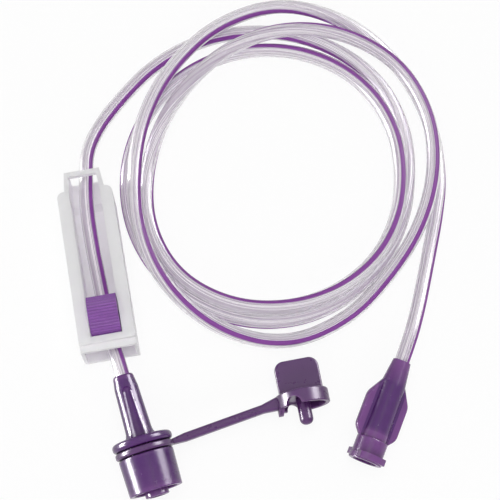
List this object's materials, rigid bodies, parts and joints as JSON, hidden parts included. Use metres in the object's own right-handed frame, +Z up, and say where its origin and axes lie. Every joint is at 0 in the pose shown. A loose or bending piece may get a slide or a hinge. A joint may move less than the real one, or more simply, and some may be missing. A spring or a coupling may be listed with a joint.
{
  "type": "enteral extension set",
  "caption": "Feeding tube extension: coiled clear striped tube with a roller clamp, a capped male connector at one end and a winged female connector at the other.",
  "frame": {"origin": "on the surface it lies on, under the middle of the moulded pieces", "axes": "+Z up from the surface; +X from the clamp towards the female connector; +Y from the connectors towards the coil"},
  "size_m": [0.0947, 0.1266, 0.016],
  "materials": {
    "clear_tube": "clear flexible extrusion with one purple stripe",
    "purple_connector": "smooth moulded, satin gloss",
    "purple_cap": "soft moulded, satin",
    "white_clamp": "smooth moulded, satin",
    "purple_roller": "finely ridged"
  },
  "bodies": {
    "set": {"tube": "clear_tube", "male_connector": "purple_connector", "female_connector": "purple_connector"},
    "clamp": {"clamp_housing": "white_clamp"},
    "roller": {"clamp_roller": "purple_roller"},
    "cap": {"tethered_cap": "purple_cap"}
  },
  "joints": [
    {"name": "clamp_slide", "type": "slide", "parent": "set", "child": "clamp", "axis": [0.1786, -0.9829, 0.0436], "range_m": [0, 0.004], "deforming": ["tube"]},
    {"name": "roller_travel", "type": "slide", "parent": "clamp", "child": "roller", "axis": [-0.1786, 0.9829, -0.0436], "range_m": [0, 0.0275], "deforming": ["tube"]},
    {"name": "cap_swivel", "type": "hinge", "parent": "set", "child": "cap", "pos_m": [-0.02015, -0.02864, 0.00694], "axis": [0.2952, -0.9525, -0.0753], "continuous": true}
  ]
}
